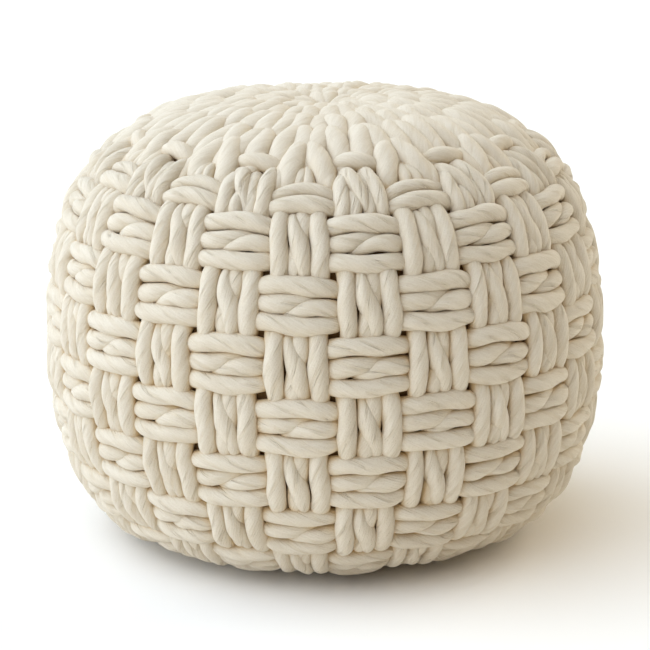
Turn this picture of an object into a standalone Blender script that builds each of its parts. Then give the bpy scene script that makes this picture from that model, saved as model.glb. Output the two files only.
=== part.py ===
"""Knitted pouf: one stuffed drum of thick basket-woven wool with a drawn-in crown.

Metres, +Z up. The origin is on the floor, at the centre of the flat spot it rests on.
The front is the -Y side. One filled solid: its barrel outline, flat underside and
drawn-in crown, with every basket block pillowed out between sunk borders.
"""
import math

import bmesh
import bpy
from mathutils import Matrix

# Driving dimensions, in metres.
DIAMETER = 0.50
HEIGHT = 0.39
WIDEST_HEIGHT = 0.166       # the widest ring above the floor
UNDERSIDE_DEPTH = 0.1675    # the lower half's own depth: the floor cuts its last 1.5 mm flat

# Roundness of the outline: 2 is an ellipse, more is a straighter side or a flatter end.
UPPER_SIDE_POWER = 3.53
UPPER_END_POWER = 2.44
LOWER_SIDE_POWER = 6.27
LOWER_END_POWER = 2.07

# The crown, where the last stitches are gathered on one thread.
CROWN_DIP = 0.010
CROWN_DIP_RADIUS = 0.030
CROWN_RIDGES = 13
CROWN_RIDGE_HEIGHT = 0.003
CROWN_RINGS = 9

# The basket weave: blocks in columns round the pouf and in rows up its side.
COLUMNS = 26
COLUMN_OFFSET = 0.113       # the first column border, in columns to the right of the front
ROWS = 8
ROW_HEIGHT = 0.051
TOP_ROW_HEIGHT = 0.043
WEAVE_TOP = 0.2118          # length up the outline from the widest ring to the top border
STEPS_PER_COLUMN = 4
STEPS_PER_ROW = 3
UNDERSIDE_RINGS = 3

# The relief of a block: its borders sink, its corners sink more, its ends reach over.
BORDER_DEPTH = 0.007
CORNER_DEPTH = 0.012
SIDEWAYS_REACH = 0.004
UPWARD_REACH = 0.004
END_BORDER_DEPTH = 0.004

OUTLINE_SAMPLES = 4000


def outline_sample(turn):
    """Radius and height on the outline, for a turn of -1 (underside) to 1 (crown)."""
    quarter = turn * math.pi / 2
    across = max(math.cos(quarter), 0.0)
    along = abs(math.sin(quarter))
    if turn < 0:
        radius = DIAMETER / 2 * across ** (2 / LOWER_SIDE_POWER)
        height = WIDEST_HEIGHT - UNDERSIDE_DEPTH * along ** (2 / LOWER_END_POWER)
    else:
        radius = DIAMETER / 2 * across ** (2 / UPPER_SIDE_POWER)
        rise = HEIGHT - WIDEST_HEIGHT
        height = WIDEST_HEIGHT + rise * along ** (2 / UPPER_END_POWER)
        height -= CROWN_DIP * math.exp(-(radius / CROWN_DIP_RADIUS) ** 2)
    return radius, height


def measure_outline():
    """The outline as (arc, radius, height), where arc is its length up from the widest ring."""
    samples = [outline_sample(2 * step / OUTLINE_SAMPLES - 1) for step in range(OUTLINE_SAMPLES + 1)]
    arcs = [0.0]
    for before, after in zip(samples, samples[1:]):
        arcs.append(arcs[-1] + math.dist(before, after))
    widest = arcs[OUTLINE_SAMPLES // 2]
    return [(arc - widest, radius, height) for arc, (radius, height) in zip(arcs, samples)]


OUTLINE = measure_outline()
CROWN_ARC = OUTLINE[-1][0]


def on_outline(arc):
    """Radius and height at a length up the outline."""
    low = 0
    high = len(OUTLINE) - 1
    while high - low > 1:
        middle = (low + high) // 2
        if OUTLINE[middle][0] <= arc:
            low = middle
        else:
            high = middle
    arc_low, radius_low, height_low = OUTLINE[low]
    arc_high, radius_high, height_high = OUTLINE[high]
    share = min(max((arc - arc_low) / (arc_high - arc_low), 0.0), 1.0)
    radius = radius_low + share * (radius_high - radius_low)
    height = height_low + share * (height_high - height_low)
    return radius, height


def row_borders():
    """Arcs of the borders between the rows of blocks, from the top one down."""
    borders = [WEAVE_TOP, WEAVE_TOP - TOP_ROW_HEIGHT]
    for _ in range(ROWS - 1):
        borders.append(borders[-1] - ROW_HEIGHT)
    return borders


def flat_spot_arc():
    """Arc at which the outline comes down to the floor."""
    return max(arc for arc, _, height in OUTLINE if height <= 0.0)


def ring_arcs():
    """(arc, place) of each ring, from the crown down; place counts rows below the weave's top."""
    borders = row_borders()
    rings = []
    for ring in range(CROWN_RINGS):
        share = (1 - ring / CROWN_RINGS) ** 1.25
        rings.append((WEAVE_TOP + (CROWN_ARC - WEAVE_TOP) * share, -share))
    for row in range(ROWS):
        for step in range(STEPS_PER_ROW):
            share = step / STEPS_PER_ROW
            arc = borders[row] + (borders[row + 1] - borders[row]) * share
            rings.append((arc, row + share))
    floor_arc = flat_spot_arc()
    for ring in range(UNDERSIDE_RINGS + 1):
        share = ring / UNDERSIDE_RINGS
        rings.append((borders[-1] + (floor_arc - borders[-1]) * share, ROWS + share))
    return rings


def block_relief(place, column):
    """Shift along the outline, shift round the pouf and height of a point of the weave."""
    row = math.floor(place + 1e-4)
    column_index = math.floor(column + 1e-4)
    on_row_border = abs(place - round(place)) < 1e-3
    on_column_border = abs(column - round(column)) < 1e-3
    if place < 1e-3 or place > ROWS - 1e-3:
        return 0.0, 0.0, -END_BORDER_DEPTH
    if on_row_border and on_column_border:
        return 0.0, 0.0, -CORNER_DEPTH
    lies_flat = (row + column_index) % 2 == 1
    if on_row_border:
        return (-UPWARD_REACH if lies_flat else UPWARD_REACH), 0.0, -BORDER_DEPTH
    if on_column_border:
        return 0.0, (-SIDEWAYS_REACH if lies_flat else SIDEWAYS_REACH), -BORDER_DEPTH
    return 0.0, 0.0, 0.0


def crown_relief(place, column):
    """Height of the gathered crown: ridges that die out towards the centre."""
    ridge = math.cos(2 * math.pi * column * CROWN_RIDGES / COLUMNS)
    return CROWN_RIDGE_HEIGHT * (ridge - 1) / 2 * math.sin(math.pi * min(-place, 1.0))


def surface_point(arc, turn, height):
    """A point at a length up the outline and a turn round the pouf, moved out by a height."""
    radius, level = on_outline(arc)
    ahead = on_outline(arc + 0.002)
    behind = on_outline(arc - 0.002)
    tangent = math.hypot(ahead[0] - behind[0], ahead[1] - behind[1])
    radius += height * (ahead[1] - behind[1]) / tangent
    level -= height * (ahead[0] - behind[0]) / tangent
    return radius * math.sin(turn), -radius * math.cos(turn), max(level, 0.0)


def add_pouf(collection, material):
    """The stuffed knitted drum, spun from its outline and pillowed block by block."""
    mesh_data = bmesh.new()
    place_layer = mesh_data.verts.layers.float.new("place")
    arc_layer = mesh_data.verts.layers.float.new("arc")
    previous = None
    outline_edges = []
    for arc, place in ring_arcs():
        radius, level = on_outline(arc)
        vertex = mesh_data.verts.new((0.0 if place <= -1 else radius, 0.0, level))
        vertex[place_layer] = place
        vertex[arc_layer] = arc
        if previous is not None:
            outline_edges.append(mesh_data.edges.new((previous, vertex)))
        previous = vertex
    first_border = COLUMN_OFFSET * 2 * math.pi / COLUMNS
    start = Matrix.Rotation(first_border - math.pi / 2, 3, "Z")
    bmesh.ops.rotate(mesh_data, verts=mesh_data.verts[:], cent=(0, 0, 0), matrix=start)
    bmesh.ops.spin(
        mesh_data,
        geom=mesh_data.verts[:] + outline_edges,
        cent=(0, 0, 0),
        axis=(0, 0, 1),
        angle=2 * math.pi,
        steps=COLUMNS * STEPS_PER_COLUMN,
        use_merge=True,
    )
    bmesh.ops.remove_doubles(mesh_data, verts=mesh_data.verts[:], dist=0.00001)
    open_edges = [edge for edge in mesh_data.edges if edge.is_boundary]
    bmesh.ops.edgeloop_fill(mesh_data, edges=open_edges)
    for vertex in mesh_data.verts:
        place = vertex[place_layer]
        if place <= -1 or place >= ROWS + 1:
            continue
        turn = math.atan2(vertex.co.x, -vertex.co.y)
        column = turn * COLUMNS / (2 * math.pi) - COLUMN_OFFSET
        arc = vertex[arc_layer]
        if place < 0:
            vertex.co = surface_point(arc, turn, crown_relief(place, column))
            continue
        arc_shift, side_shift, height = block_relief(place, column)
        radius = math.hypot(vertex.co.x, vertex.co.y)
        vertex.co = surface_point(arc + arc_shift, turn + side_shift / radius, height)
    bmesh.ops.recalc_face_normals(mesh_data, faces=mesh_data.faces[:])
    mesh = bpy.data.meshes.new("knitted_pouf")
    mesh_data.to_mesh(mesh)
    mesh_data.free()
    mesh.shade_smooth()
    mesh.materials.append(material)
    pouf = bpy.data.objects.new("knitted_pouf", mesh)
    collection.objects.link(pouf)


def wool_material():
    """Undyed cream wool, matt all over."""
    material = bpy.data.materials.new("cream_wool")
    material.use_nodes = True
    shader = material.node_tree.nodes["Principled BSDF"]
    shader.inputs["Base Color"].default_value = (0.82, 0.76, 0.62, 1.0)
    shader.inputs["Roughness"].default_value = 0.9
    shader.inputs["Metallic"].default_value = 0.0
    return material


for old in list(bpy.data.objects):
    bpy.data.objects.remove(old, do_unlink=True)
pouf_collection = bpy.data.collections.new("knitted_pouf")
bpy.context.scene.collection.children.link(pouf_collection)
add_pouf(pouf_collection, wool_material())
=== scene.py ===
import math

import bmesh
import bpy
import numpy as np
from mathutils import Matrix, Vector


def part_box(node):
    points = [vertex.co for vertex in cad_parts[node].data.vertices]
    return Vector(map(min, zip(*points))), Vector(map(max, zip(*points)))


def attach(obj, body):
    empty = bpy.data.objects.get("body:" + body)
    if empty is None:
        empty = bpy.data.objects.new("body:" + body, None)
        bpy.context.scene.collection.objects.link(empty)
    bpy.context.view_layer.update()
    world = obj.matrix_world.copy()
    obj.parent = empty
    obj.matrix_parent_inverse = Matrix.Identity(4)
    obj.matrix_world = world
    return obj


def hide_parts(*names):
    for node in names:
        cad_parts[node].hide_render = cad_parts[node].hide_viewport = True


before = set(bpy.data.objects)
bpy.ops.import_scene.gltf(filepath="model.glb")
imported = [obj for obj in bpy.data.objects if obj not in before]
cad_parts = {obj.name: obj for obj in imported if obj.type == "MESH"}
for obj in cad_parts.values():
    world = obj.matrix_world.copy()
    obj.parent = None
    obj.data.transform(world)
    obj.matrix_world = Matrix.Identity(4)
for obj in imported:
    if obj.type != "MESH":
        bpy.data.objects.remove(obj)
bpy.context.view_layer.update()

# ---------------------------------------------------------------------------------------
# The stuffed form: the filling packed tight inside the cover, which gives the pouf its
# barrel outline, its flat underside and its drawn-in crown. Between the cover's strands it
# shows only as slivers, so it has the colour of the cover's wool in deep shade.

pouf_low, pouf_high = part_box("knitted_pouf")
POUF_RADIUS = (pouf_high[0] - pouf_low[0]) / 2
TOP_LOST_TO_DIP = 0.001
OUTLINE_TOP = pouf_high[2] + TOP_LOST_TO_DIP
CROWN_DIP = 0.010
CROWN_DIP_RADIUS = 0.030
WIDEST_HEIGHT = 0.166
UNDERSIDE_DEPTH = 0.1675
UPPER_SIDE_POWER, UPPER_END_POWER = 3.53, 2.44
LOWER_SIDE_POWER, LOWER_END_POWER = 6.27, 2.07
OUTLINE_POINTS = 4001


def outline_table():
    """Length up the outline from its widest ring, and the radius, height and normal there."""
    angle = np.linspace(-math.pi / 2, math.pi / 2, OUTLINE_POINTS)
    lower_half = angle < 0
    across = np.clip(np.cos(angle), 0.0, 1.0)
    along = np.abs(np.sin(angle))
    radius = POUF_RADIUS * np.where(
        lower_half, across ** (2 / LOWER_SIDE_POWER), across ** (2 / UPPER_SIDE_POWER))
    height = WIDEST_HEIGHT + np.where(
        lower_half,
        -UNDERSIDE_DEPTH * along ** (2 / LOWER_END_POWER),
        (OUTLINE_TOP - WIDEST_HEIGHT) * along ** (2 / UPPER_END_POWER))
    dip = CROWN_DIP * np.exp(-(radius / CROWN_DIP_RADIUS) ** 2)
    height = height - np.where(lower_half, 0.0, dip)
    steps = np.hypot(np.diff(radius), np.diff(height))
    length = np.concatenate([[0.0], np.cumsum(steps)])
    length -= length[OUTLINE_POINTS // 2]
    even = np.linspace(length[0], length[-1], OUTLINE_POINTS)
    radius = np.interp(even, length, radius)
    height = np.interp(even, length, height)
    slope = np.hypot(np.gradient(radius), np.gradient(height))
    return even, radius, height, np.gradient(height) / slope, -np.gradient(radius) / slope


ARC, RADIUS, HEIGHT, NORMAL_OUT, NORMAL_UP = outline_table()
CROWN_ARC = ARC[-1]
FLOOR_ARC = ARC[np.argmax(HEIGHT > 0.0)]

# The filling bulges a little all over, fills the shoulder out and sinks low down, and does
# both more to one side than to the other.
SWELL = 0.0014
RIPPLE = 0.0010
SHOULDER_BULGE, SHOULDER_ARC, SHOULDER_SPREAD = 0.0022, 0.175, 0.050
SLACK_SINK, SLACK_ARC, SLACK_SPREAD = 0.0020, -0.080, 0.070
UNEVEN_FILL = 0.2


def lumps(turn, arc):
    """How far the filling pushes the cover out here and there, in metres."""
    swell = np.sin(3 * turn + 0.8 + 9 * arc) * np.cos(2 * turn - 14 * arc + 0.4)
    ripple = np.sin(7 * turn - 21 * arc + 1.9) * np.sin(5 * turn + 16 * arc)
    shoulder = SHOULDER_BULGE * np.exp(-((arc - SHOULDER_ARC) / SHOULDER_SPREAD) ** 2)
    slack = SLACK_SINK * np.exp(-((arc - SLACK_ARC) / SLACK_SPREAD) ** 2)
    return (SWELL * swell + RIPPLE * ripple
            + (1.0 + UNEVEN_FILL * np.sin(turn)) * (shoulder - slack))


def place_on_pouf(turn, arc, height):
    """Points at a turn round the pouf, a length up its outline and a height off its surface."""
    height = height + lumps(turn, arc)
    radius = np.interp(arc, ARC, RADIUS) + height * np.interp(arc, ARC, NORMAL_OUT)
    level = np.interp(arc, ARC, HEIGHT) + height * np.interp(arc, ARC, NORMAL_UP)
    radius = np.maximum(radius, 0.0)
    pressed_flat = np.maximum(level, 0.0)
    return np.stack([radius * np.sin(turn), -radius * np.cos(turn), pressed_flat], -1)


def feed(tree, socket, value):
    """Gives a node's socket a plain value, or the output of another node."""
    if isinstance(value, bpy.types.NodeSocket):
        tree.links.new(value, socket)
    else:
        socket.default_value = value


def maths(tree, operation, *values):
    """What a maths node makes of the values."""
    node = tree.nodes.new("ShaderNodeMath")
    node.operation = operation
    for socket, value in zip(node.inputs, values):
        feed(tree, socket, value)
    return node.outputs[0]


def ranged(tree, value, low=0.0, high=1.0, to_low=0.0, to_high=1.0, way="LINEAR"):
    """A value whose range from low to high is stretched to another."""
    node = tree.nodes.new("ShaderNodeMapRange")
    node.interpolation_type = way
    node.inputs["From Min"].default_value = low
    node.inputs["From Max"].default_value = high
    node.inputs["To Min"].default_value = to_low
    node.inputs["To Max"].default_value = to_high
    feed(tree, node.inputs["Value"], value)
    return node.outputs["Result"]


def noise(tree, vector, scale, detail):
    """Soft noise over a map in metres."""
    node = tree.nodes.new("ShaderNodeTexNoise")
    node.inputs["Scale"].default_value = scale
    node.inputs["Detail"].default_value = detail
    feed(tree, node.inputs["Vector"], vector)
    return node.outputs["Fac"]


def mixed(tree, share, first, second, way="MIX"):
    """Two colours mixed, by the second one's share."""
    node = tree.nodes.new("ShaderNodeMix")
    node.data_type = "RGBA"
    node.blend_type = way
    feed(tree, node.inputs["Factor"], share)
    feed(tree, node.inputs["A"], first)
    feed(tree, node.inputs["B"], second)
    return node.outputs["Result"]


# A strand's map runs round its girth and along its length, in metres.
STRAND_GIRTH = 0.052
PLY_CREASES = 3.0
CREASE_WANDER = 0.40


def fibre_group():
    """Roving wool: fibres combed along the strand, creases between its plies, uneven shade."""
    group = bpy.data.node_groups.new("roving_fibres", "ShaderNodeTree")
    for name, value in (
            ("Fibres per Metre", 560.0), ("Fibre Lean", 0.80), ("Twist Length", 0.060)):
        socket = group.interface.new_socket(name, in_out="INPUT", socket_type="NodeSocketFloat")
        socket.default_value = value
    for name in ("Fibre Height", "Crease Height", "Shade"):
        group.interface.new_socket(name, in_out="OUTPUT", socket_type="NodeSocketFloat")
    given = group.nodes.new("NodeGroupInput").outputs
    out = group.nodes.new("NodeGroupOutput").inputs
    strand_map = group.nodes.new("ShaderNodeUVMap")
    strand_map.uv_map = "Strand"
    on_strand = strand_map.outputs["UV"]
    apart = group.nodes.new("ShaderNodeSeparateXYZ")
    feed(group, apart.inputs["Vector"], on_strand)
    around, along = apart.outputs["X"], apart.outputs["Y"]
    lean = maths(group, "MULTIPLY", along, given["Fibre Lean"])
    leaning_round = maths(group, "SUBTRACT", around, lean)

    def combed_noise(round_scale, along_scale, detail):
        """Noise drawn out along fibres that lean round the strand."""
        vector = group.nodes.new("ShaderNodeCombineXYZ")
        feed(group, vector.inputs["X"], maths(group, "MULTIPLY", leaning_round, round_scale))
        feed(group, vector.inputs["Y"], maths(group, "MULTIPLY", along, along_scale))
        return noise(group, vector.outputs["Vector"], scale=1.0, detail=detail)

    fibres = combed_noise(given["Fibres per Metre"], 110.0, detail=4.0)
    locks = combed_noise(150.0, 34.0, detail=2.0)
    fuzz = noise(group, on_strand, scale=850.0, detail=2.0)
    patches = noise(group, on_strand, scale=55.0, detail=1.0)

    # The creases wind round the strand, and fuzz and stray fibres bridge them here and there.
    turns = maths(
        group, "SUBTRACT",
        maths(group, "DIVIDE", around, STRAND_GIRTH),
        maths(group, "DIVIDE", along, given["Twist Length"]))
    wander = maths(group, "MULTIPLY", maths(group, "SUBTRACT", locks, 0.5), CREASE_WANDER)
    plies = maths(group, "ADD", maths(group, "MULTIPLY", turns, PLY_CREASES), wander)
    ply_part = maths(group, "FRACT", plies)
    from_crease = maths(group, "ABSOLUTE", maths(group, "SUBTRACT", ply_part, 0.5))
    crease = ranged(group, from_crease, high=0.20, way="SMOOTHSTEP")
    bridged = ranged(group, patches, low=0.38, high=0.62)
    hatched = ranged(group, fibres, low=0.44, high=0.62, to_high=0.7)
    broken_crease = maths(group, "MAXIMUM", maths(group, "MAXIMUM", crease, bridged), hatched)
    feed(group, out["Crease Height"], broken_crease)

    def summed(fibre_share, lock_share, fuzz_share):
        """Fibres, locks and fuzz together, each by its share."""
        combed = maths(
            group, "ADD",
            maths(group, "MULTIPLY", fibres, fibre_share),
            maths(group, "MULTIPLY", locks, lock_share))
        return maths(group, "ADD", combed, maths(group, "MULTIPLY", fuzz, fuzz_share))

    feed(group, out["Fibre Height"], summed(0.55, 0.15, 0.30))
    feed(group, out["Shade"], summed(0.45, 0.25, 0.30))
    return group


ROVING = fibre_group()

# Wool's tones, the painted shade a crease takes from its red, green and blue, and its relief in
# metres.
DEEPEST = 0.018
DARK_STRAND = (0.88, 0.85, 0.80, 1.0)
LIGHT_STRAND = (1.0, 1.0, 1.0, 1.0)
CREASE_PAINTED_SHADE = (0.08, 0.12, 0.19)
CREASE_BUMP = 0.0010
FIBRE_BUMP = 0.0013


def wool_material(name, painted_depth_shade, relief=1.0):
    """Matt wool: lighter and darker strands, with painted shade darker and warmer down between
    them.
    """
    material = bpy.data.materials.new(name)
    material.use_nodes = True
    tree = material.node_tree
    shader = tree.nodes["Principled BSDF"].inputs
    shader["Specular IOR Level"].default_value = 0.2
    shader["Sheen Weight"].default_value = 0.15
    shader["Sheen Roughness"].default_value = 0.4
    roving_node = tree.nodes.new("ShaderNodeGroup")
    roving_node.node_tree = ROVING
    roving = roving_node.outputs
    depth = tree.nodes.new("ShaderNodeAttribute")
    depth.attribute_name = "depth"
    tint = tree.nodes.new("ShaderNodeAttribute")
    tint.attribute_name = "tint"

    # Painted shade: the deeper the wool lies between the strands, the darker and warmer its
    # colour.
    painted_shade_ramp = tree.nodes.new("ShaderNodeValToRGB")
    painted_shade_ramp.color_ramp.interpolation = "EASE"
    stops = painted_shade_ramp.color_ramp.elements
    while len(stops) < len(painted_depth_shade):
        stops.new(0.5)
    for stop, (depth_here, shade) in zip(stops, painted_depth_shade):
        stop.position = depth_here / DEEPEST
        stop.color = (*shade, 1.0)
    feed(tree, painted_shade_ramp.inputs["Fac"], ranged(tree, depth.outputs["Fac"], high=DEEPEST))

    streak = ranged(tree, roving["Shade"], low=0.40, high=0.60, to_high=0.8)
    lightness = maths(tree, "ADD", streak, tint.outputs["Fac"])
    lightness.node.use_clamp = True
    tones = mixed(tree, lightness, DARK_STRAND, LIGHT_STRAND)
    # Painted shade in the creases between the plies: a crease darkens the wool's colour.
    crease_painted_shade = [1.0 - darkening * relief for darkening in CREASE_PAINTED_SHADE] + [1.0]
    creased = mixed(tree, roving["Crease Height"], crease_painted_shade, tones)
    colour = mixed(tree, 1.0, painted_shade_ramp.outputs["Color"], creased, way="MULTIPLY")
    feed(tree, shader["Base Color"], colour)
    roughness = ranged(tree, roving["Shade"], to_low=0.82, to_high=0.98)
    feed(tree, shader["Roughness"], roughness)

    crease_bump = tree.nodes.new("ShaderNodeBump")
    crease_bump.inputs["Strength"].default_value = 0.7
    crease_bump.inputs["Distance"].default_value = CREASE_BUMP * relief
    feed(tree, crease_bump.inputs["Height"], roving["Crease Height"])
    fibre_bump = tree.nodes.new("ShaderNodeBump")
    fibre_bump.inputs["Strength"].default_value = 1.0
    fibre_bump.inputs["Distance"].default_value = FIBRE_BUMP * relief
    feed(tree, fibre_bump.inputs["Height"], roving["Fibre Height"])
    feed(tree, fibre_bump.inputs["Normal"], crease_bump.outputs["Normal"])
    feed(tree, shader["Normal"], fibre_bump.outputs["Normal"])
    return material


# How deep the form lies under the cover's surface, beneath the rows and at both ends.
FORM_DEPTH_IN_ROWS = 0.0138
FORM_DEPTH_AT_ENDS = 0.0108
ROWS_START_AND_END = (-0.22, -0.20, 0.225, 0.24)
FORM_RINGS = 90
FORM_STEPS = 130
FORM_FLOOR_GAP = 0.002
# Painted deep shade for the form: darker where it lies deeper under the cover.
SHADED_WOOL = ((0.0105, (0.50, 0.36, 0.20)), (0.0140, (0.13, 0.07, 0.022)))

form_mesh = bmesh.new()
form_depth = form_mesh.verts.layers.float.new("depth")
form_uv = form_mesh.loops.layers.uv.new("Strand")
below = None
for ring_arc in np.linspace(FLOOR_ARC, CROWN_ARC, FORM_RINGS):
    ring_radius = max(np.interp(ring_arc, ARC, RADIUS), 0.0)
    vertex = form_mesh.verts.new((ring_radius, 0.0, ring_arc))
    if below is not None:
        form_mesh.edges.new((below, vertex))
    below = vertex
bmesh.ops.spin(
    form_mesh, geom=form_mesh.verts[:] + form_mesh.edges[:], cent=(0, 0, 0), axis=(0, 0, 1),
    angle=2 * math.pi, steps=FORM_STEPS, use_merge=True)
bmesh.ops.remove_doubles(form_mesh, verts=form_mesh.verts[:], dist=0.00001)
form_rim = [edge for edge in form_mesh.edges if edge.is_boundary]
bmesh.ops.edgeloop_fill(form_mesh, edges=form_rim)
for face in form_mesh.faces:
    for loop in face.loops:
        loop[form_uv].uv = (loop.vert.co.x, loop.vert.co.z)
for vertex in form_mesh.verts:
    turn = math.atan2(vertex.co.y, vertex.co.x)
    in_rows = np.interp(vertex.co.z, ROWS_START_AND_END, (0.0, 1.0, 1.0, 0.0))
    sink = FORM_DEPTH_AT_ENDS + (FORM_DEPTH_IN_ROWS - FORM_DEPTH_AT_ENDS) * in_rows
    vertex.co = Vector(place_on_pouf(turn, vertex.co.z, -sink))
    vertex.co.z = max(vertex.co.z, FORM_FLOOR_GAP)
    vertex[form_depth] = sink
bmesh.ops.recalc_face_normals(form_mesh, faces=form_mesh.faces[:])
form_data = bpy.data.meshes.new("stuffed_form")
form_mesh.to_mesh(form_data)
form_mesh.free()
form_data.shade_smooth()
form_data.materials.append(wool_material("shaded_inner_wool", SHADED_WOOL))
stuffed_form = bpy.data.objects.new("stuffed_form", form_data)
bpy.context.scene.collection.objects.link(stuffed_form)
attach(stuffed_form, "root")
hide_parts("knitted_pouf")

# ---------------------------------------------------------------------------------------
# The basket rows: the side of the cover, knitted of thick wool roving. Blocks of level
# strands take turns with blocks of upright ones. Between its two outer strands a block has a
# pair twisted once, and its ends dive under its neighbours.

COLUMNS = 26
COLUMN_OFFSET = 0.113
COLUMN_TURN = 2 * math.pi / COLUMNS
COLUMN_WIDTH = 0.0582
ROWS = 8
ROW_HEIGHT = 0.051
TOP_ROW_HEIGHT = 0.043
WEAVE_TOP = 0.2118

# How deep the wool lies between the strands, in metres, and its colour there: its own cream near
# the surface, then painted shade, warmer and darker, deeper down.
CREAM = (0.75, 0.66, 0.515)
HONEY_PAINTED_SHADE = (0.68, 0.51, 0.285)
UMBER_PAINTED_SHADE = (0.27, 0.14, 0.04)
ROVING_PAINTED_SHADE = ((0.0025, CREAM), (0.0092, HONEY_PAINTED_SHADE), (0.0164, UMBER_PAINTED_SHADE))
row_wool = wool_material("cream_roving_wool", ROVING_PAINTED_SHADE)

# A strand's path, in millimetres from the middle of its block: to the right, up, down from
# the surface to the strand's middle, half its width and half its thickness.
LEVEL_TOP = (
    (-36.5, 13.1, 27.0, 7.9, 6.5), (-34.5, 13.7, 16.7, 9.0, 7.8), (-31.0, 14.3, 11.6, 9.0, 8.2),
    (-25.0, 15.7, 9.2, 8.6, 8.5), (-9.0, 16.1, 8.4, 8.5, 8.7), (4.0, 16.7, 8.3, 9.1, 8.9),
    (14.0, 17.1, 8.4, 9.2, 8.9), (25.0, 15.5, 9.2, 8.7, 8.5), (31.0, 13.9, 11.6, 9.0, 8.2),
    (34.5, 13.3, 16.7, 9.0, 7.8), (36.5, 12.9, 27.0, 7.9, 6.5))
LEVEL_BOTTOM = (
    (-36.5, -15.0, 27.0, 7.9, 6.5), (-34.5, -15.2, 16.7, 9.0, 7.8), (-31.0, -15.6, 11.6, 9.0, 8.2),
    (-25.0, -16.4, 9.2, 8.6, 8.5), (-12.0, -17.2, 8.4, 8.5, 8.7), (-1.0, -18.0, 8.3, 9.1, 8.9),
    (10.0, -17.2, 8.4, 8.8, 8.7), (25.0, -16.2, 9.2, 8.6, 8.5), (31.0, -15.4, 11.6, 9.0, 8.2),
    (34.5, -15.0, 16.7, 9.0, 7.8), (36.5, -14.8, 27.0, 7.9, 6.5))
LEVEL_UNDER_PLY = (
    (-36.5, -1.0, 27.0, 7.7, 6.0), (-34.5, -1.0, 18.8, 8.7, 7.4), (-31.0, -1.0, 12.8, 8.9, 7.8),
    (-25.0, -0.8, 9.8, 8.8, 8.2), (-14.0, 0.2, 9.0, 8.8, 8.4), (-4.0, 2.4, 10.0, 8.0, 7.8),
    (8.0, 4.8, 12.4, 6.7, 6.8), (20.0, 5.0, 16.5, 5.8, 5.5), (30.0, 5.0, 20.0, 5.7, 5.0))
LEVEL_OVER_PLY = (
    (-16.0, -8.0, 17.0, 3.4, 5.0), (-6.0, -6.4, 11.6, 5.0, 6.8), (3.0, -4.2, 9.2, 7.0, 8.0),
    (12.0, -1.8, 8.5, 8.8, 8.5), (20.0, -1.0, 8.8, 8.8, 8.5), (26.0, -1.0, 10.0, 8.7, 8.2),
    (31.0, -1.0, 13.2, 8.3, 7.8), (34.5, -1.4, 19.0, 7.6, 7.2), (36.5, -1.6, 27.0, 6.4, 6.0))
UPRIGHT_LEFT = (
    (-17.9, 34.0, 27.0, 7.8, 6.5), (-18.1, 31.5, 16.7, 8.9, 7.8), (-18.4, 27.5, 11.6, 8.9, 8.2),
    (-18.7, 20.0, 9.2, 8.6, 8.5), (-18.5, 8.0, 8.4, 8.6, 8.7), (-18.1, -8.0, 8.3, 8.9, 8.9),
    (-17.9, -20.0, 9.2, 8.8, 8.5), (-17.8, -27.5, 11.6, 8.9, 8.2), (-17.8, -31.5, 16.7, 8.9, 7.8),
    (-17.7, -34.0, 27.0, 7.8, 6.5))
UPRIGHT_RIGHT = (
    (17.3, 34.0, 27.0, 7.8, 6.5), (17.5, 31.5, 16.7, 8.9, 7.8), (17.5, 27.5, 11.6, 8.9, 8.2),
    (17.5, 20.0, 9.2, 8.6, 8.5), (17.7, 8.0, 8.4, 8.8, 8.7), (18.4, -7.0, 8.3, 9.4, 8.9),
    (18.4, -20.0, 9.2, 9.2, 8.5), (18.3, -27.5, 11.6, 8.9, 8.2), (18.1, -31.5, 16.7, 8.9, 7.8),
    (17.7, -34.0, 27.0, 7.8, 6.5))
UPRIGHT_OVER_PLY = (
    (-7.5, 31.0, 19.0, 3.7, 5.0), (-6.0, 21.0, 10.6, 5.9, 7.4), (-4.2, 12.0, 8.8, 7.9, 8.2),
    (-1.6, 3.0, 8.2, 9.1, 8.8), (1.2, -6.0, 8.4, 9.1, 8.8), (3.4, -15.0, 9.2, 8.3, 8.2),
    (5.2, -24.0, 11.6, 6.6, 7.4), (6.5, -32.0, 19.0, 4.2, 5.0))
UPRIGHT_UNDER_PLY = (
    (2.5, 34.0, 27.0, 7.0, 6.0), (2.8, 31.5, 18.8, 8.2, 7.4), (3.2, 27.0, 12.8, 8.8, 7.8),
    (3.2, 17.0, 9.9, 8.7, 8.0), (2.4, 6.0, 11.8, 9.2, 7.6), (-1.4, -6.0, 11.8, 9.7, 7.6),
    (-2.8, -16.0, 9.9, 8.9, 8.0), (-2.8, -27.0, 12.8, 8.8, 7.8), (-2.6, -31.5, 18.8, 8.2, 7.4),
    (-2.5, -34.0, 27.0, 7.0, 6.0))

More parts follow.
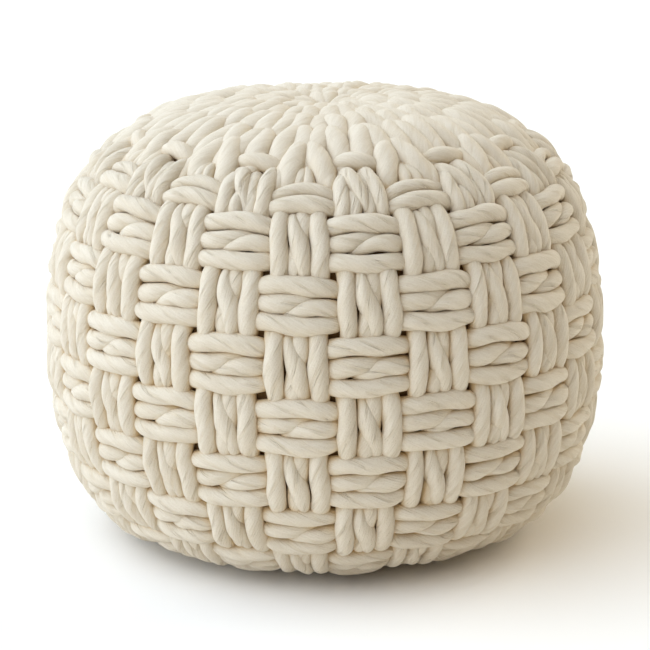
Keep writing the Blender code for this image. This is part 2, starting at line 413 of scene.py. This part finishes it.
# The top row is squeezed where the crown begins: its level blocks show two arched strands,
# and the twisted pair in its upright blocks is pushed into one leaf. Round half of the pouf
# an upright block's right strand leans in towards the leaf, and round the rest it is straight.
TOP_LEVEL_BACK = (
    (-36.5, -6.0, 26.0, 6.5, 6.5), (-33.5, -4.5, 18.0, 8.0, 7.8), (-29.0, -2.0, 12.6, 8.2, 8.0),
    (-18.0, 1.0, 10.2, 8.0, 8.4), (-2.0, 3.0, 9.4, 8.2, 8.6), (14.0, 1.8, 9.8, 8.2, 8.6),
    (26.0, -1.0, 11.6, 8.2, 8.2), (31.0, -3.0, 16.0, 8.0, 7.8), (34.5, -4.5, 26.0, 6.5, 6.5))
TOP_LEVEL_FRONT = (
    (-36.5, -15.0, 26.0, 6.5, 6.5), (-34.5, -14.6, 18.0, 8.2, 8.0), (-30.5, -13.8, 12.2, 8.8, 8.6),
    (-20.0, -12.2, 9.0, 9.2, 9.0), (-2.0, -11.2, 8.4, 9.6, 9.2), (16.0, -12.2, 8.8, 9.4, 9.2),
    (29.0, -14.2, 12.0, 8.8, 8.6), (34.0, -15.0, 18.0, 8.2, 8.0), (36.5, -15.6, 26.0, 6.5, 6.5))
TOP_UPRIGHT_LEFT = (
    (-14.0, 27.0, 25.0, 6.0, 6.0), (-17.0, 20.0, 16.0, 7.6, 7.6), (-19.0, 10.0, 10.4, 8.2, 8.2),
    (-19.8, 0.0, 8.8, 8.4, 8.6), (-19.8, -12.0, 8.6, 8.4, 8.6), (-19.4, -22.0, 11.0, 8.4, 8.2),
    (-19.0, -28.0, 18.0, 7.8, 7.6), (-18.6, -31.0, 26.0, 6.5, 6.5))
TOP_UPRIGHT_LEANING = (
    (7.0, 29.0, 24.0, 6.0, 6.0), (9.0, 24.0, 13.0, 8.0, 8.0), (11.5, 14.0, 9.4, 8.4, 8.6),
    (15.5, 3.0, 8.6, 8.4, 8.8), (19.0, -9.0, 8.6, 8.2, 8.6), (20.0, -21.0, 11.0, 8.2, 8.2),
    (20.0, -28.0, 18.0, 7.8, 7.6), (20.0, -31.0, 26.0, 6.5, 6.5))
TOP_UPRIGHT_STRAIGHT = (
    (22.0, 29.0, 24.0, 6.0, 6.0), (22.0, 24.0, 13.0, 8.0, 8.0), (21.5, 14.0, 9.6, 8.4, 8.6),
    (20.5, 3.0, 8.8, 8.4, 8.8), (20.0, -9.0, 8.6, 8.2, 8.6), (20.0, -21.0, 11.0, 8.2, 8.2),
    (20.0, -28.0, 18.0, 7.8, 7.6), (20.0, -31.0, 26.0, 6.5, 6.5))
TOP_UPRIGHT_LEAF = (
    (-17.0, 29.0, 24.0, 6.0, 6.0), (-14.0, 23.0, 13.0, 8.4, 8.0), (-9.5, 13.0, 8.8, 9.6, 8.8),
    (-4.0, 3.0, 8.4, 8.2, 8.8), (0.5, -7.0, 9.2, 6.0, 8.0), (4.0, -17.0, 12.0, 3.8, 6.8),
    (6.0, -26.0, 20.0, 2.6, 4.5))
TOP_UPRIGHT_BACK = (
    (-6.0, 10.0, 20.0, 4.0, 5.0), (-7.0, 0.0, 13.4, 6.6, 6.8), (-7.0, -12.0, 11.0, 7.4, 7.6),
    (-6.6, -23.0, 12.4, 7.4, 7.6), (-6.4, -28.0, 18.0, 7.0, 7.2), (-6.2, -31.0, 26.0, 6.0, 6.0))
TOP_UPRIGHT_INNER = (
    (2.0, 26.0, 22.0, 5.0, 5.5), (3.0, 18.0, 13.6, 7.4, 7.2), (5.0, 6.0, 12.4, 7.6, 7.4),
    (7.4, -7.0, 11.4, 7.4, 7.4), (8.4, -21.0, 11.8, 7.4, 7.4), (8.4, -28.0, 18.0, 7.0, 7.2),
    (8.4, -31.0, 26.0, 6.0, 6.0))

LEVEL_BLOCK = (LEVEL_TOP, LEVEL_BOTTOM, LEVEL_UNDER_PLY, LEVEL_OVER_PLY)
UPRIGHT_BLOCK = (UPRIGHT_LEFT, UPRIGHT_RIGHT, UPRIGHT_UNDER_PLY, UPRIGHT_OVER_PLY)
TOP_LEVEL_BLOCK = (TOP_LEVEL_BACK, TOP_LEVEL_FRONT)
TOP_LEANING_BLOCK = (
    TOP_UPRIGHT_LEFT, TOP_UPRIGHT_LEANING, TOP_UPRIGHT_BACK, TOP_UPRIGHT_INNER, TOP_UPRIGHT_LEAF)
TOP_STRAIGHT_BLOCK = (
    TOP_UPRIGHT_LEFT, TOP_UPRIGHT_STRAIGHT, TOP_UPRIGHT_BACK, TOP_UPRIGHT_INNER, TOP_UPRIGHT_LEAF)
LEANING_COLUMNS = COLUMNS // 2

MILLIMETRE = 0.001
PATH_POINTS = 96


def smooth_path(sections):
    """Evenly spaced points, in metres, on the smooth curve through a strand's sections."""
    sections = np.asarray(sections, dtype=float)
    gaps = np.linalg.norm(np.diff(sections[:, :3], axis=0), axis=1)
    knots = np.concatenate([[0.0], np.cumsum(gaps)])
    slopes = np.gradient(sections, knots, axis=0)
    wanted = np.linspace(0.0, knots[-1], PATH_POINTS)
    before = np.clip(np.searchsorted(knots, wanted, side="right") - 1, 0, len(knots) - 2)
    span = (knots[before + 1] - knots[before])[:, None]
    part = (wanted - knots[before])[:, None] / span
    points = ((2 * part ** 3 - 3 * part ** 2 + 1) * sections[before]
              + (part ** 3 - 2 * part ** 2 + part) * span * slopes[before]
              + (3 * part ** 2 - 2 * part ** 3) * sections[before + 1]
              + (part ** 3 - part ** 2) * span * slopes[before + 1])
    return points * MILLIMETRE


# Hand knitting is uneven: a strand strays, is thicker or thinner, and swells and wanders.
STRAY = 0.0004
GIRTH_SPREAD = 0.02
GIRTH_WAVE, GIRTH_WAVE_RATE = 0.050, 1.3
SIDE_WAVE = 0.0010
DEPTH_WAVE = 0.0006
FEWEST_WAVES, MOST_WAVES = 1.5, 2.3


def uneven_path(sections, random):
    """A strand's path as the hand leaves it."""
    path = smooth_path(sections)
    path[:, :3] += random.normal(0.0, STRAY, 3)
    waves = np.linspace(0.0, 2 * math.pi, PATH_POINTS)
    waves *= random.uniform(FEWEST_WAVES, MOST_WAVES)
    waves += random.uniform(0.0, 2 * math.pi)
    thicker = random.normal(0.0, GIRTH_SPREAD)
    girth = 1.0 + thicker + GIRTH_WAVE * np.sin(waves * GIRTH_WAVE_RATE)
    path[:, 3:] *= girth[:, None]
    upright = abs(path[0, 0] - path[-1, 0]) < abs(path[0, 1] - path[-1, 1])
    path[:, 0 if upright else 1] += SIDE_WAVE * np.sin(waves)
    path[:, 2] += DEPTH_WAVE * np.cos(waves)
    return path


# A strand is a ball of few faces, drawn out along its path. Its rings crowd towards its blunt
# ends, and it is a little fuller than the yarn, because rounding the faces draws them in.
STRAND_SIDES = 8
STRAND_RINGS = 10
END_CROWDING = 1.05
END_BLUNTNESS = 6.0
CAGE_FULLNESS = 1.08
OUTER_CROWDING = 0.30
PLY_TWIST_LENGTH = 0.066
PLY_SWELL = 0.095
SMALLEST_RADIUS = 0.006
LONGEST_MAP_START = 40.0
STRONGEST_TINT = 0.35


def lay_strand(yarn, sections, turn, arc, random, gloom):
    """Adds one closed strand to the yarn. Its gloom is how much of its depth counts as painted
    shade.
    """
    path = uneven_path(sections, random)
    squeeze = np.interp(arc, ARC, RADIUS) / POUF_RADIUS
    across = path[:, 0] * squeeze
    up = path[:, 1]
    off_surface = -path[:, 2]
    steps = np.sqrt(np.diff(across) ** 2 + np.diff(up) ** 2 + np.diff(off_surface) ** 2)
    length = np.concatenate([[0.0], np.cumsum(steps)])

    strand = bmesh.new()
    strand_map = strand.loops.layers.uv.new("Strand")
    depth_layer = strand.verts.layers.float.new("depth")
    tint_layer = strand.verts.layers.float.new("tint")
    bmesh.ops.create_uvsphere(
        strand, u_segments=STRAND_SIDES, v_segments=STRAND_RINGS, radius=1.0, calc_uvs=True)
    # How far along the path each point of the ball goes.
    ball = np.array([vertex.co for vertex in strand.verts])
    angle = np.arctan2(ball[:, 1], ball[:, 0])
    from_middle = 2 * np.arccos(np.clip(-ball[:, 2], -1.0, 1.0)) / math.pi - 1.0
    crowded = np.sin(END_CROWDING * from_middle) / math.sin(END_CROWDING)
    wanted = (0.5 + 0.5 * crowded) * length[-1]

    # The ways ahead, to the side and out at that place on the path.
    ways = [np.interp(wanted, length, np.gradient(way)) for way in (across, up, off_surface)]
    heading = np.stack(ways, -1)
    heading /= np.linalg.norm(heading, axis=1)[:, None]
    side = np.stack([heading[:, 1], -heading[:, 0], np.zeros(len(ball))], -1)
    side /= np.linalg.norm(side, axis=1)[:, None]
    out = np.cross(side, heading)

    # The strand's section there: its plies swell in turn as they twist, and its ends are blunt.
    map_start = random.uniform(0.0, LONGEST_MAP_START)
    twist = 2 * math.pi * (wanted + map_start) / PLY_TWIST_LENGTH
    plies = 1.0 + PLY_SWELL * np.cos(2 * (angle - twist))
    rounding = np.clip(1.0 - np.abs(from_middle) ** END_BLUNTNESS, 0.0, 1.0)
    fullness = CAGE_FULLNESS * plies * rounding ** (1 / END_BLUNTNESS)
    width = np.interp(wanted, length, path[:, 3]) * fullness * squeeze ** 0.5
    thick = np.interp(wanted, length, path[:, 4]) * fullness
    swing = angle - OUTER_CROWDING * np.sin(angle)
    offset = side * (width * np.sin(swing))[:, None] + out * (thick * np.cos(swing))[:, None]

    # And the section's points laid on the pouf.
    centre_arc = arc + np.interp(wanted, length, up)
    near_radius = np.maximum(np.interp(centre_arc, ARC, RADIUS), SMALLEST_RADIUS)
    columns_across = np.interp(wanted, length, path[:, 0]) / COLUMN_WIDTH
    turns = turn + columns_across * COLUMN_TURN + offset[:, 0] / near_radius
    heights = np.interp(wanted, length, off_surface) + offset[:, 2]
    places = place_on_pouf(turns, centre_arc + offset[:, 1], heights)
    tint = random.uniform(0.0, STRONGEST_TINT)
    for vertex, place, height in zip(strand.verts, places, heights):
        vertex.co = place
        # The strand's depth under the surface, scaled by its gloom, sets its painted shade.
        vertex[depth_layer] = -height * gloom
        vertex[tint_layer] = tint
    for face in strand.faces:
        for loop in face.loops:
            around, along = loop[strand_map].uv
            loop[strand_map].uv = (around * STRAND_GIRTH, map_start + along * length[-1])
    one_strand = bpy.data.meshes.new("one_strand")
    strand.to_mesh(one_strand)
    strand.free()
    yarn.from_mesh(one_strand)
    bpy.data.meshes.remove(one_strand)


def finish_strands(name, yarn, wool):
    """One rounded piece of all the strands in the yarn."""
    mesh = bpy.data.meshes.new(name)
    yarn.to_mesh(mesh)
    yarn.free()
    mesh.shade_smooth()
    mesh.materials.append(wool)
    piece = bpy.data.objects.new(name, mesh)
    bpy.context.scene.collection.objects.link(piece)
    rounded = piece.modifiers.new("rounded", "SUBSURF")
    rounded.levels = 1
    rounded.render_levels = 1
    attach(piece, "root")
    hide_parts("knitted_pouf")


# Each block is turned and moved a little, by radians and millimetres. The gaps in the upper
# rows are open to the light and get less painted shade, and those lower down get more.
BLOCK_TILT = 0.022
BLOCK_SHIFT = 0.5
TOP_ROW_GLOOM = 0.35
GLOOM_PER_ROW = 0.22
FIRST_ROW_SEED = 100

row_top = WEAVE_TOP
for row in range(ROWS):
    row_height = ROW_HEIGHT if row else TOP_ROW_HEIGHT
    row_middle = row_top - row_height / 2
    row_gloom = min(TOP_ROW_GLOOM + GLOOM_PER_ROW * row, 1.0)
    row_random = np.random.default_rng(FIRST_ROW_SEED + row)
    row_blocks = (UPRIGHT_BLOCK, LEVEL_BLOCK)
    row_yarn = bmesh.new()
    for column in range(COLUMNS):
        turn = (column + 0.5 + COLUMN_OFFSET) * COLUMN_TURN
        tilt = row_random.normal(0.0, BLOCK_TILT)
        shift = row_random.normal(0.0, BLOCK_SHIFT, 2)
        if row == 0:
            leaning = column < LEANING_COLUMNS
            row_blocks = (TOP_LEANING_BLOCK if leaning else TOP_STRAIGHT_BLOCK, TOP_LEVEL_BLOCK)
        for sections in row_blocks[(row + column) % 2]:
            settled = [
                (x - tilt * y + shift[0], y + tilt * x + shift[1], *rest)
                for x, y, *rest in sections]
            lay_strand(row_yarn, settled, turn, row_middle, row_random, row_gloom)
    finish_strands(f"basket_row_{row + 1}", row_yarn, row_wool)
    row_top -= row_height

# ---------------------------------------------------------------------------------------
# The crown: knit stitches of the same roving that narrow towards the centre, where the last
# are gathered on one thread and drawn in. Each is two legs that lean together, inner ends
# over the next course and outer ends under the one before.

# Its stitches are softer and less creased than the rows, whose strands are pulled tight, so their
# creases get less bump and lighter painted shade.
end_wool = wool_material("smooth_roving_wool", ROVING_PAINTED_SHADE, relief=0.45)

# A leg's path from its outer end to its inner one: share of half a stitch across, share of
# the course, depth of its middle and half its thickness in millimetres, share of its width.
LEG = (
    (1.20, -0.40, 24.0, 5.5, 0.50), (1.22, -0.25, 16.0, 7.0, 0.80), (1.20, -0.08, 12.6, 7.8, 0.96),
    (1.12, 0.15, 11.0, 8.6, 1.04), (0.96, 0.40, 9.0, 9.0, 1.12), (0.76, 0.64, 8.2, 9.0, 1.08),
    (0.54, 0.86, 8.6, 8.4, 0.90), (0.38, 1.02, 11.0, 7.4, 0.66), (0.28, 1.14, 18.0, 5.5, 0.40))
COURSE_GLOOM = 0.45

# Stitches stray round the pouf by radians and up it by metres, and lean by a share of half
# a stitch.
WALE_STRAY = 0.012
COURSE_STRAY = 0.0036
LEG_LEAN = 0.36
SHORTEST_LEG, LONGEST_LEG = 0.92, 1.08


def lay_course(yarn, random, wales, outer, inner, spread, width, first, up=1):
    """Adds one course of stitches between two lengths up the outline (or down it, with up -1).

    The spread is half a stitch and the width is half a leg, in millimetres, and first is the
    place of the first stitch, in columns.
    """
    course_middle = up * (inner + outer) / 2
    squeeze = np.interp(course_middle, ARC, RADIUS) / POUF_RADIUS
    for wale in range(wales):
        columns_round = wale * COLUMNS / wales + first + COLUMN_OFFSET
        turn = columns_round * COLUMN_TURN + random.normal(0.0, WALE_STRAY)
        middle = course_middle + random.normal(0.0, COURSE_STRAY)
        for side in (-1, 1):
            stretch = random.uniform(SHORTEST_LEG, LONGEST_LEG)
            length = (inner - outer) * stretch / MILLIMETRE
            lean = random.normal(0.0, LEG_LEAN)
            leg = [
                ((share * side + lean * (along - 0.5)) * spread, up * (along - 0.5) * length,
                 sink, width * part / squeeze ** 0.5, thick)
                for share, along, sink, thick, part in LEG]
            lay_strand(yarn, leg, turn, middle, random, COURSE_GLOOM)


# A level strand lies over the top of every upright block and closes the last row. Beside it,
# a leaf and a strand underneath come up out of each level block into the crown.
CLOSING_ARC = 0.2240
CLOSING_STRAND = (
    (-33.0, 1.2, 27.0, 6.4, 6.5), (-27.5, 1.7, 18.5, 9.4, 8.4), (-17.0, 2.2, 11.4, 10.0, 9.2),
    (0.0, 1.8, 10.0, 10.2, 9.4), (17.0, 0.2, 11.4, 10.0, 9.2), (27.5, -1.3, 18.5, 9.4, 8.4),
    (33.0, -2.3, 27.0, 6.4, 6.5))
CLOSING_GLOOM = 0.6
LEAF_ARC = 0.212
LEAF_STRAND = (
    (7.0, -22.0, 22.0, 5.0, 5.0), (6.5, -14.0, 13.0, 7.0, 7.0), (5.0, -4.0, 11.5, 7.0, 7.0),
    (2.5, 8.0, 14.0, 5.0, 6.0), (1.5, 16.0, 20.0, 3.0, 4.0))
UNDER_STRAND = (
    (27.0, -26.0, 24.0, 6.0, 6.0), (27.0, -16.0, 14.5, 8.5, 7.5), (27.0, -4.0, 12.8, 9.0, 8.0),
    (26.0, 8.0, 13.0, 9.0, 8.0), (25.0, 20.0, 15.0, 8.5, 7.5), (24.0, 28.0, 24.0, 6.0, 6.0))
LEAF_GLOOM = 0.7
COLUMN_PAIRS = COLUMNS // 2

# Courses from the rows to the centre: stitches, outer and inner length up the outline, half
# a stitch's spread and half a leg's width in millimetres, and the first one's place.
OUTERMOST_COURSE = (13, 0.204, 0.250, 17.5, 9.8, -0.5)
INNER_COURSES = (
    (28, 0.232, 0.286, 13.5, 10.4, 0.0),
    (22, 0.274, 0.314, 17.2, 10.4, 0.0),
    (16, 0.304, 0.342, 23.6, 10.4, 0.5),
    (12, 0.332, 0.368, 31.5, 9.8, 0.0),
    (8, 0.356, 0.392, 47.0, 7.8, 0.0))
CROWN_SEED = 7

crown_random = np.random.default_rng(CROWN_SEED)
crown_yarn = bmesh.new()
lay_course(crown_yarn, crown_random, *OUTERMOST_COURSE)
for pair in range(COLUMN_PAIRS):
    closing_turn = (pair * 2 + 0.5 + COLUMN_OFFSET) * COLUMN_TURN
    closing_turn += crown_random.normal(0.0, WALE_STRAY)
    lay_strand(
        crown_yarn, CLOSING_STRAND, closing_turn, CLOSING_ARC, crown_random, CLOSING_GLOOM)
    leaf_turn = (pair * 2 - 0.5 + COLUMN_OFFSET) * COLUMN_TURN
    for side in (-1, 1):
        for sections in (LEAF_STRAND, UNDER_STRAND):
            leaf = [(side * x, *rest) for x, *rest in sections]
            lay_strand(crown_yarn, leaf, leaf_turn, LEAF_ARC, crown_random, LEAF_GLOOM)
for course in INNER_COURSES:
    lay_course(crown_yarn, crown_random, *course)
finish_strands("crown_stitches", crown_yarn, end_wool)

# ---------------------------------------------------------------------------------------
# The underside: the same stitches close the cover below, in courses that narrow towards the
# centre. It is the same wool, pressed flat where the pouf stands on it.

UNDERSIDE_COURSES = (
    (26, 0.186, 0.242, 14.5, 8.8, 0.0),
    (26, 0.232, 0.290, 14.5, 8.0, 0.0),
    (16, 0.280, 0.336, 23.6, 9.4, 0.0),
    (12, 0.326, 0.390, 31.5, 7.4, 0.0))
UNDERSIDE_SEED = 11

underside_random = np.random.default_rng(UNDERSIDE_SEED)
underside_yarn = bmesh.new()
for course in UNDERSIDE_COURSES:
    lay_course(underside_yarn, underside_random, *course, up=-1)
finish_strands("underside_stitches", underside_yarn, end_wool)

# ---------------------------------------------------------------------------------------
# The studio: a plain pale floor in a room that is bright to the left and above and dim to
# the right and below. Three soft lights stand in it: a broad one at the left, another above
# it and a smaller one behind on the right.

FLOOR_RADIUS = 14.0
FLOOR_DROP = 0.0005
floor_mesh = bmesh.new()
bmesh.ops.create_circle(floor_mesh, cap_ends=True, segments=96, radius=FLOOR_RADIUS)
bmesh.ops.translate(floor_mesh, verts=floor_mesh.verts[:], vec=(0, 0, -FLOOR_DROP))
floor_data = bpy.data.meshes.new("studio_floor")
floor_mesh.to_mesh(floor_data)
floor_mesh.free()
floor_paint = bpy.data.materials.new("pale_floor")
floor_paint.use_nodes = True
floor_shader = floor_paint.node_tree.nodes["Principled BSDF"]
floor_shader.inputs["Base Color"].default_value = (0.965, 0.925, 0.85, 1.0)
floor_shader.inputs["Roughness"].default_value = 0.9
floor_data.materials.append(floor_paint)
studio_floor = bpy.data.objects.new("studio_floor", floor_data)
bpy.context.scene.collection.objects.link(studio_floor)

# The way to the room's dim side, and how far along it the room is brightest and dimmest.
DIM_WAY = (0.80, -0.10, -1.08)
BRIGHTEST, DIMMEST = -1.35, 0.80
ROOM_COLOURS = ((0.82, 0.92, 1.0), (0.10, 0.065, 0.03), (0.03, 0.02, 0.01))
BACKDROP = (0.95, 0.95, 0.94, 1.0)
world = bpy.data.worlds.new("studio_room")
world.use_nodes = True
room = world.node_tree
room_way = room.nodes.new("ShaderNodeTexCoord")
room_side = room.nodes.new("ShaderNodeVectorMath")
room_side.operation = "DOT_PRODUCT"
feed(room, room_side.inputs[0], room_way.outputs["Generated"])
feed(room, room_side.inputs[1], DIM_WAY)
room_shade = room.nodes.new("ShaderNodeValToRGB")
room_stops = room_shade.color_ramp.elements
room_stops.new(0.5)
for room_stop, room_colour in zip(room_stops, ROOM_COLOURS):
    room_stop.color = (*room_colour, 1.0)
room_across = ranged(room, room_side.outputs["Value"], low=BRIGHTEST, high=DIMMEST)
feed(room, room_shade.inputs["Fac"], room_across)
# The camera sees a plain pale backdrop past the floor's edge, whichever way it looks.
room_seen = room.nodes.new("ShaderNodeLightPath").outputs["Is Camera Ray"]
room_light = room.nodes["Background"].inputs
feed(room, room_light["Color"], mixed(room, room_seen, room_shade.outputs["Color"], BACKDROP))
room_light["Strength"].default_value = 1.25
bpy.context.scene.world = world
bpy.context.scene.view_settings.view_transform = "Standard"


LIGHT_DISTANCE = 2.0


def soft_light(name, turn, elevation, spread, energy, colour):
    """A soft light, at a turn to the right of the camera and an angle above the floor."""
    data = bpy.data.lights.new(name, "SUN")
    data.angle = math.radians(spread)
    data.energy = energy
    data.color = colour
    light = bpy.data.objects.new(name, data)
    elevation = math.radians(elevation)
    over_camera = LIGHT_DISTANCE * Vector((0, -math.cos(elevation), math.sin(elevation)))
    light.location = Matrix.Rotation(math.radians(turn), 3, "Z") @ over_camera
    light.rotation_euler = light.location.to_track_quat("Z", "Y").to_euler()
    bpy.context.scene.collection.objects.link(light)


soft_light("side_light", -88.0, 17.0, 110.0, 1.58, (0.81, 1.08, 1.49))
soft_light("top_light", -66.0, 37.0, 110.0, 1.34, (0.95, 0.95, 1.05))
soft_light("rim_light", 122.0, 25.0, 50.0, 1.75, (0.98, 0.95, 0.86))

# ---------------------------------------------------------------------------------------
# The camera: a long lens two metres off and a little higher than the crown, which looks
# down at the pouf's middle.

CAMERA_ELEVATION = math.radians(14.6)
CAMERA_DISTANCE = 8.4 * POUF_RADIUS
AIM_OVER_WIDEST = 0.0144
camera_data = bpy.data.cameras.new("studio_camera")
camera_data.sensor_width = 36.0
camera_data.lens = 128.8
studio_camera = bpy.data.objects.new("studio_camera", camera_data)
studio_camera.location = (
    0.0,
    -CAMERA_DISTANCE * math.cos(CAMERA_ELEVATION),
    WIDEST_HEIGHT + CAMERA_DISTANCE * math.sin(CAMERA_ELEVATION))
aim = Vector((0.0, 0.0, WIDEST_HEIGHT + AIM_OVER_WIDEST))
studio_camera.rotation_euler = (aim - studio_camera.location).to_track_quat("-Z", "Y").to_euler()
bpy.context.scene.collection.objects.link(studio_camera)
bpy.context.scene.camera = studio_camera
